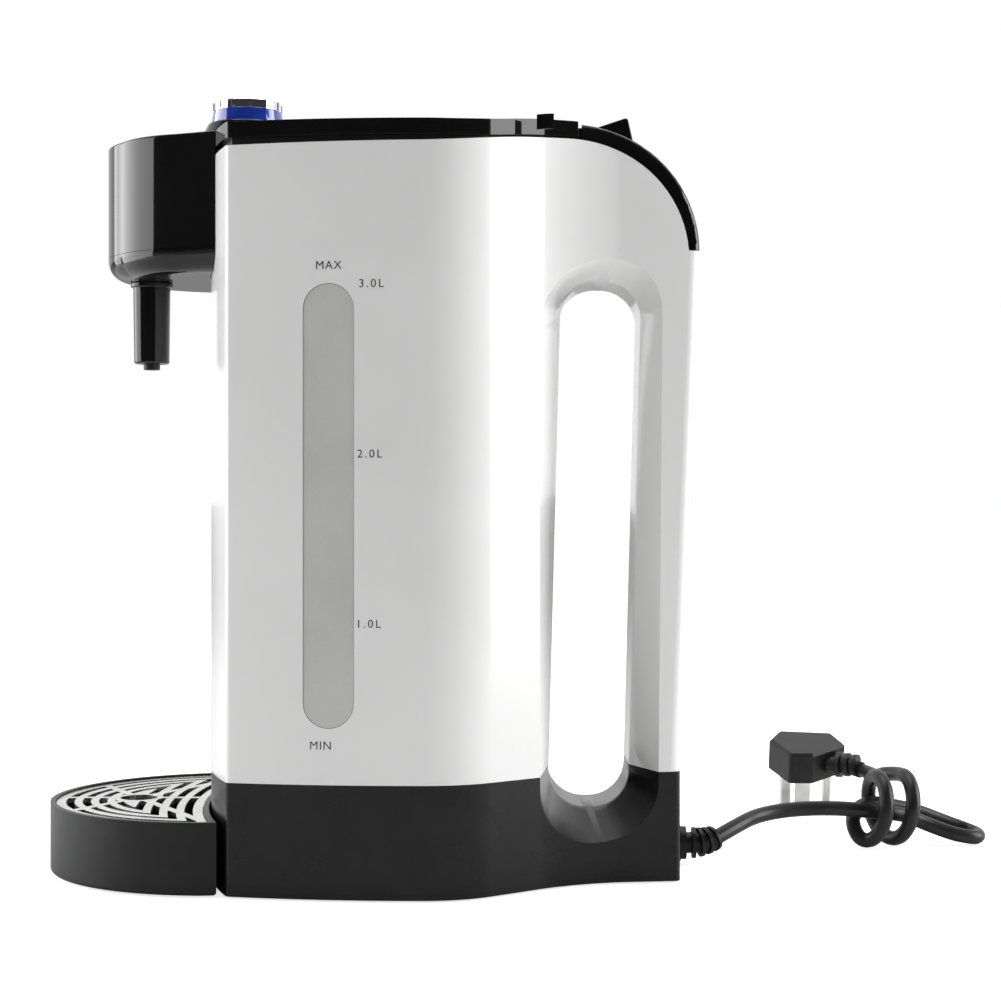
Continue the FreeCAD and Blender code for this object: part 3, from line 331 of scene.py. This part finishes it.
def skin(node: str, finish: Finish, body: Body, width: float = 0.35, angle: float = 32.0) -> bpy.types.Object:
    """A welded and softened copy of a solid, which stands for it.

    Args:
        node: The solid.
        finish: Finish of the copy.
        body: Body that it rides on.
        width: Width of the rounded edges, in millimetres.
        angle: Least turn of an edge that is rounded, in degrees.

    Returns:
        The copy.
    """
    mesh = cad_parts[node].data.copy()
    work = bmesh.new()
    work.from_mesh(mesh)
    bmesh.ops.remove_doubles(work, verts=work.verts, dist=0.002 * MM)
    bmesh.ops.dissolve_limit(
        work, angle_limit=math.radians(0.4), use_dissolve_boundaries=False, verts=work.verts, edges=work.edges
    )
    for edge in work.edges:
        edge.smooth = len(edge.link_faces) == 2 and edge.calc_face_angle(0.0) < math.radians(angle)
    work.to_mesh(mesh)
    work.free()
    piece = link(node + "_skin", mesh, finish)
    if width:
        soften(piece, width, angle)
    else:
        mesh.shade_smooth()
    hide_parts(node)
    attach(piece, body.value)
    return piece


def dress(finish: Finish, *nodes: str) -> None:
    """Gives solids that keep their own mesh their finish.

    Args:
        finish: The finish.
        nodes: The solids.
    """
    for node in nodes:
        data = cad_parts[node].data
        data.materials.clear()
        data.materials.append(finish.material())
        LOG.info("%s keeps its solid, in %s", node, finish.name)


# Casing and its printed scale


@dataclass
class Casing:
    """White casing, black base, level window and the printed scale beside it.

    Attributes:
        letter_height: Height of the capitals, in millimetres.
        ink_lift: Height of the ink over the casing, in millimetres.
        ink_depth: Thickness of the ink, in millimetres.
        cap_share: Height of a capital as a share of the text's size.
        letter_space: Spacing of the words.
        number_space: Spacing of the numbers.
        window_x: Middle of the level window, in millimetres. Not used.
        marks: Each word with its left or middle edge, its base line and its alignment.
    """

    letter_height: float = 3.15
    ink_lift: float = 0.05
    ink_depth: float = 0.04
    cap_share: float = 0.7
    letter_space: float = 1.12
    number_space: float = 1.3
    window_x: float = -15.0
    marks: list[tuple[str, float, float, str]] = field(
        default_factory=lambda: [
            ("MAX", -14.9, 242.6, "CENTER"),
            ("3.0L", -3.3, 235.5, "LEFT"),
            ("2.0L", -3.9, 170.3, "LEFT"),
            ("1.0L", -4.4, 105.2, "LEFT"),
            ("MIN", -18.0, 58.5, "CENTER"),
        ]
    )

    def build(self) -> None:
        """Builds the casing's pieces."""
        shell = skin("body_shell", WHITE_CASING, Body.POT, 0.5)
        skin("base_shell", CHARCOAL_BASE, Body.POT, 0.45)
        skin("level_window", GAUGE_LENS, Body.POT, 0.5, 50.0)
        dress(CHARCOAL_BASE, "bottom_plate")
        dress(FOOT_RUBBER, "rubber_feet")
        dress(ZINC_STEEL, "base_screws")
        self._scale(shell)
        LOG.info("casing built")

    def _scale(self, shell: bpy.types.Object) -> None:
        """Prints the level scale on the flank.

        Args:
            shell: The casing's skin, whose flank takes the ink.
        """
        flank = BVHTree.FromObject(shell, bpy.context.evaluated_depsgraph_get())
        for number, (word, x, z, align) in enumerate(self.marks, start=1):
            curve = bpy.data.curves.new("mark_%d" % number, "FONT")
            curve.body = word
            curve.align_x = align
            curve.size = self.letter_height * MM / self.cap_share
            curve.space_character = self.number_space if word[0].isdigit() else self.letter_space
            curve.resolution_u = 4
            lettered = bpy.data.objects.new("mark_curve", curve)
            bpy.context.scene.collection.objects.link(lettered)
            mesh = bpy.data.meshes.new_from_object(
                lettered.evaluated_get(bpy.context.evaluated_depsgraph_get())
            )
            bpy.data.objects.remove(lettered)
            mesh.transform(Matrix.Translation(at(x, -100.0, z)) @ Matrix.Rotation(math.pi / 2, 4, "X"))
            self._lay_on(mesh, flank)
            piece = link("scale_mark_%d" % number, mesh, SCALE_INK)
            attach(piece, Body.POT.value)

    def _lay_on(self, mesh: bpy.types.Mesh, flank: BVHTree) -> None:
        """Brings flat ink onto the flank and gives it a thickness.

        Args:
            mesh: The ink, in front of the flank.
            flank: The casing's surface.
        """
        work = bmesh.new()
        work.from_mesh(mesh)
        bmesh.ops.remove_doubles(work, verts=work.verts, dist=0.001 * MM)
        bmesh.ops.triangulate(work, faces=work.faces)
        for vert in work.verts:
            spot = flank.ray_cast(vert.co, Vector((0, 1, 0)))[0]
            if spot:
                vert.co.y = spot.y - self.ink_lift * MM
        thick = bmesh.ops.extrude_face_region(work, geom=work.faces[:])
        moved = [part for part in thick["geom"] if isinstance(part, bmesh.types.BMVert)]
        bmesh.ops.translate(work, verts=moved, vec=Vector((0, self.ink_depth * MM, 0)))
        bmesh.ops.recalc_face_normals(work, faces=work.faces)
        work.to_mesh(mesh)
        work.free()


# Tank, pump and electrics


@dataclass
class Insides:
    """What the casing holds: tank, heater, pump, hoses and boards."""

    def build(self) -> None:
        """Dresses the hidden pieces."""
        skin("inner_tank", TANK_STEEL, Body.POT, 0.0)
        dress(SILICONE, "tank_gasket", "inlet_hose", "outlet_hose")
        dress(NATURAL_PLASTIC, "tank_cover", "pump_housing", "pump_impeller", "terminal_block")
        dress(CAST_HEATER, "heating_plate")
        dress(PHENOLIC, "thermostat")
        dress(ZINC_STEEL, "thermal_fuse", "pump_motor")
        dress(CIRCUIT_BOARD, "power_board", "control_board")
        dress(BLACK_COMPONENT, "transformer", "relay", "dispense_switch")
        dress(LEAD_INSULATION, "mains_leads")
        LOG.info("insides dressed")


# Top, lid and handle


@dataclass
class Top:
    """Glossy frame, hinged lid, tail cap and release button.

    Attributes:
        edge: Width of the rounded edges, in millimetres.
    """

    edge: float = 0.8

    def build(self) -> None:
        """Builds the pieces of the top."""
        skin("tank_collar", SATIN_BLACK, Body.POT, 0.3)
        skin("top_frame", PIANO_BLACK, Body.POT, self.edge)
        skin("tail_cap", PIANO_BLACK, Body.POT, self.edge)
        skin("lid_panel", PIANO_BLACK, Body.LID, 0.6)
        skin("steam_vent", SATIN_BLACK, Body.LID, 0.25)
        skin("lid_release", PIANO_BLACK, Body.RELEASE, 0.8)
        skin("lid_inner_cover", NATURAL_PLASTIC, Body.LID, 0.5)
        dress(SILICONE, "lid_gasket")
        dress(ZINC_STEEL, "lid_hinge_pins")
        LOG.info("top built")


@dataclass
class Head:
    """Overhanging head with the nozzle and the dispensing knob."""

    def build(self) -> None:
        """Builds the pieces of the head."""
        skin("head_housing", PIANO_BLACK, Body.POT, 0.4)
        skin("head_lower_cover", PIANO_BLACK, Body.POT, 0.25)
        skin("nozzle_sleeve", PIANO_BLACK, Body.POT, 0.3)
        skin("nozzle_tip", SATIN_BLACK, Body.POT, 0.3)
        skin("knob_bezel", PIANO_BLACK, Body.POT, 0.5)
        skin("knob_ring", BLUE_RING, Body.KNOB_HEAD, 0.4)
        skin("knob_crown", CHROME_CROWN, Body.KNOB_HEAD, 0.3)
        dress(NATURAL_PLASTIC, "knob_sleeve")
        dress(ZINC_STEEL, "knob_spring")
        LOG.info("head built")


@dataclass
class Tray:
    """Drip tray with its stamped grille."""

    def build(self) -> None:
        """Builds the tray and the grille."""
        skin("drip_tray", SATIN_BLACK, Body.TRAY, 0.6)
        skin("drip_grille", GRILLE_STEEL, Body.GRILLE, 0.35)
        LOG.info("tray built")


# Mains cord


@dataclass
class MainsCord:
    """Mains cord in a loose bight with its own end wound round it, and its plug.

    Attributes:
        diameter: Thickness of the cord, in millimetres.
        wrap_centre: Middle of the wraps, in millimetres.
        wrap_radius: Distance of the wraps' corners from the middle.
        wrap_pitch: Step along the bundle of one wrap.
        wrap_step: Turn between two corners, in degrees.
        wrap_start: Bearing of the first corner round the bundle, in degrees.
        wrap_corners: Number of corners in the wraps.
        wrap_along: Direction of the bundle.
        wrap_back: Level direction across the bundle.
        outward: Corners from the strain relief to the first wrap.
        homeward: Corners from the last wrap to the plug.
    """

    diameter: float = 6.5
    wrap_centre: tuple[float, float, float] = (215.3, 42.0, 17.6)
    wrap_radius: float = 14.9
    wrap_pitch: float = 13.0
    wrap_step: float = 45.0
    wrap_start: float = -110.0
    wrap_corners: int = 13
    wrap_along: tuple[float, float, float] = (0.95, 0.31, 0.0)
    wrap_back: tuple[float, float, float] = (-0.31, 0.95, 0.0)
    outward: list[tuple[float, float, float]] = field(
        default_factory=lambda: [
            (141.8, 1.2, 11.0),
            (152.0, 9.0, 15.2),
            (163.2, 24.0, 17.5),
            (181.0, 31.5, 19.0),
            (202.5, 35.5, 18.5),
            (218.3, 38.0, 16.2),
            (230.0, 43.8, 14.6),
            (241.0, 47.5, 9.6),
            (252.5, 46.5, 5.4),
            (262.5, 47.0, 3.5),
            (266.5, 54.0, 3.6),
            (261.5, 60.5, 5.2),
            (251.0, 59.5, 9.0),
            (239.0, 56.5, 14.0),
            (225.0, 51.6, 17.5),
            (213.0, 46.5, 19.4),
            (206.5, 43.0, 13.4),
            (208.8, 38.5, 4.6),
        ]
    )
    homeward: list[tuple[float, float, float]] = field(
        default_factory=lambda: [
            (222.0, 64.0, 29.5),
            (228.5, 82.0, 24.5),
            (231.5, 98.0, 22.4),
            (229.8, 111.0, 22.8),
            (225.6, 121.5, 23.6),
        ]
    )

    def route(self) -> list[Vector]:
        """Corners of the whole cord.

        Returns:
            The points, in metres.
        """
        along = Vector(self.wrap_along).normalized()
        back = Vector(self.wrap_back).normalized()
        middle = at(*self.wrap_centre)
        points = [at(*corner) for corner in self.outward]
        for k in range(self.wrap_corners):
            angle = self.wrap_start - self.wrap_step * k
            turn = math.radians(angle)
            shift = self.wrap_pitch * (-angle - 180.0) / 360.0
            side = back * math.cos(turn) + Vector((0, 0, 1)) * math.sin(turn)
            points.append(middle + along * shift * MM + side * self.wrap_radius * MM)
        return points + [at(*corner) for corner in self.homeward]

    def build(self) -> None:
        """Builds the cord, its strain relief and its plug."""
        points = self.route()
        curve = bpy.data.curves.new("power_cord", "CURVE")
        curve.dimensions = "3D"
        curve.bevel_depth = self.diameter * MM / 2
        curve.bevel_resolution = 5
        curve.resolution_u = 10
        curve.use_fill_caps = True
        spline = curve.splines.new("NURBS")
        spline.points.add(len(points) - 1)
        for held, point in zip(spline.points, points):
            held.co = (*point, 1.0)
        spline.order_u = 3
        spline.use_endpoint_u = True
        cord = bpy.data.objects.new("mains_cord", curve)
        bpy.context.scene.collection.objects.link(cord)
        curve.materials.append(CORD_BLACK.material())
        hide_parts("power_cord")
        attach(cord, Body.POT.value)
        relief = skin("strain_relief", PLUG_BLACK, Body.POT, 0.4)
        plug = skin("plug_body", PLUG_BLACK, Body.POT, 0.6)
        pins = skin("plug_pins", PIN_METAL, Body.POT, 0.4)
        LOG.info("cord built on %d points", len(points))


# Studio


@dataclass(frozen=True)
class Softbox:
    """A square lamp that faces the pot.

    Attributes:
        name: Name of the lamp.
        bearing: Direction from the pot, in degrees from -Y towards +X.
        height: Height of its middle, in metres.
        reach: Distance from the pot's middle, in metres.
        width: Width, in metres.
        tall: Height of the panel, in metres.
        power: Power, in watts.
    """

    name: str
    bearing: float
    height: float
    reach: float
    width: float
    tall: float
    power: float

    def light(self) -> None:
        """Hangs the lamp."""
        lamp = bpy.data.lights.new(self.name, "AREA")
        lamp.shape = "RECTANGLE"
        lamp.size = self.width
        lamp.size_y = self.tall
        lamp.energy = self.power
        turn = math.radians(self.bearing)
        place = Vector((math.sin(turn) * self.reach, -math.cos(turn) * self.reach, self.height))
        aim = Vector((0, 0, 0.15)) - place
        held = bpy.data.objects.new(self.name, lamp)
        held.matrix_world = Matrix.Translation(place) @ aim.to_track_quat("-Z", "Y").to_matrix().to_4x4()
        bpy.context.scene.collection.objects.link(held)


@dataclass
class Studio:
    """Camera, floor, world and lamps.

    Attributes:
        camera: Place of the camera, in millimetres from the drawing line.
        focal: Focal length in pixels of the photograph.
        frame_width: Width of the photograph in pixels.
        floor_radius: Radius of the floor, in metres.
        floor_glow: Light that the floor adds where the eye sees it.
        ambient: Strength of the surround for diffuse light.
        front_gloss: Strength of the surround that glossy faces mirror in front of the pot.
        softboxes: The lamps.
    """

    camera: tuple[float, float, float] = (51.0, -845.0, 153.9)
    focal: float = 2000.0
    frame_width: int = 1001
    floor_radius: float = 60.0
    floor_glow: float = 0.75
    ambient: float = 0.38
    front_gloss: float = 0.04
    softboxes: list[Softbox] = field(
        default_factory=lambda: [
            Softbox("left_softbox", -95.0, 0.35, 1.25, 1.3, 1.1, 18.0),
            Softbox("right_softbox", 88.0, 0.35, 1.25, 0.75, 1.1, 17.0),
            Softbox("top_softbox", 180.0, 1.5, 0.15, 1.0, 0.8, 9.0),
        ]
    )

    def build(self) -> None:
        """Sets up the studio."""
        self._camera()
        self._floor()
        self._world()
        for softbox in self.softboxes:
            softbox.light()
        bpy.context.scene.view_settings.view_transform = "Standard"
        LOG.info("studio built")

    def _camera(self) -> None:
        """Places the level camera at the photograph's viewing angle."""
        lens = bpy.data.cameras.new("camera")
        lens.sensor_width = 36.0
        lens.lens = self.focal * 36.0 / self.frame_width
        lens.clip_start = 0.01
        held = bpy.data.objects.new("camera", lens)
        held.matrix_world = Matrix.Translation(at(*self.camera)) @ Matrix.Rotation(math.pi / 2, 4, "X")
        bpy.context.scene.collection.objects.link(held)
        bpy.context.scene.camera = held

    def _floor(self) -> None:
        """Lays the pale floor, which looks white and keeps the pot's shadow."""
        mesh = bpy.data.meshes.new("floor")
        work = bmesh.new()
        bmesh.ops.create_circle(work, cap_ends=True, radius=self.floor_radius, segments=96)
        work.to_mesh(mesh)
        work.free()
        floor = bpy.data.objects.new("floor", mesh)
        bpy.context.scene.collection.objects.link(floor)
        made = bpy.data.materials.new("pale_floor")
        made.use_nodes = True
        tree = made.node_tree
        shader = tree.nodes["Principled BSDF"]
        shader.inputs["Base Color"].default_value = (0.80, 0.80, 0.80, 1.0)
        shader.inputs["Roughness"].default_value = 0.7
        shader.inputs["Specular IOR Level"].default_value = 0.1
        shader.inputs["Emission Color"].default_value = (1.0, 1.0, 1.0, 1.0)
        seen = seen_rays(tree)
        share = tree.nodes.new("ShaderNodeMath")
        share.operation = "MULTIPLY"
        share.inputs[1].default_value = self.floor_glow
        tree.links.new(seen.outputs[0], share.inputs[0])
        tree.links.new(share.outputs[0], shader.inputs["Emission Strength"])
        mesh.materials.append(made)

    def _world(self) -> None:
        """Gives a white surround to the eye and behind the pot, and a dim one elsewhere."""
        world = bpy.data.worlds.new("studio")
        bpy.context.scene.world = world
        world.use_nodes = True
        tree = world.node_tree
        back = tree.nodes["Background"]
        back.inputs["Color"].default_value = (1.0, 1.0, 1.0, 1.0)
        rays = tree.nodes.new("ShaderNodeLightPath")
        place = tree.nodes.new("ShaderNodeTexCoord")
        split = tree.nodes.new("ShaderNodeSeparateXYZ")
        behind = tree.nodes.new("ShaderNodeMapRange")
        behind.interpolation_type = "SMOOTHSTEP"
        behind.inputs["From Min"].default_value = -0.1
        behind.inputs["From Max"].default_value = 0.35
        behind.inputs["To Min"].default_value = self.front_gloss
        behind.inputs["To Max"].default_value = 1.0
        mirrored = tree.nodes.new("ShaderNodeMix")
        mirrored.inputs["A"].default_value = self.ambient
        seen = tree.nodes.new("ShaderNodeMix")
        seen.inputs["B"].default_value = 1.0
        either = tree.nodes.new("ShaderNodeMath")
        either.operation = "MAXIMUM"
        tree.links.new(place.outputs["Generated"], split.inputs["Vector"])
        tree.links.new(split.outputs["Y"], behind.inputs["Value"])
        tree.links.new(rays.outputs["Is Glossy Ray"], either.inputs[0])
        tree.links.new(rays.outputs["Is Transmission Ray"], either.inputs[1])
        tree.links.new(either.outputs[0], mirrored.inputs["Factor"])
        tree.links.new(behind.outputs["Result"], mirrored.inputs["B"])
        tree.links.new(rays.outputs["Is Camera Ray"], seen.inputs["Factor"])
        tree.links.new(mirrored.outputs["Result"], seen.inputs["A"])
        tree.links.new(seen.outputs["Result"], back.inputs["Strength"])


def seen_rays(tree: bpy.types.NodeTree) -> bpy.types.Node:
    """Rays from the eye or through glass.

    Args:
        tree: Nodes of the material.

    Returns:
        A node whose first output is 1 for these rays.
    """
    rays = tree.nodes.new("ShaderNodeLightPath")
    seen = tree.nodes.new("ShaderNodeMath")
    seen.operation = "MAXIMUM"
    tree.links.new(rays.outputs["Is Transmission Ray"], seen.inputs[0])
    tree.links.new(rays.outputs["Is Camera Ray"], seen.inputs[1])
    return seen


def main() -> None:
    """Builds the sub-assemblies in order."""
    logging.basicConfig(level=logging.INFO, format="%(name)s: %(message)s")
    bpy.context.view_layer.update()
    Studio().build()
    MainsCord().build()
    Casing().build()
    Insides().build()
    Top().build()
    Head().build()
    Tray().build()
    LOG.info("everything built")


if __name__ == "__main__":
    main()
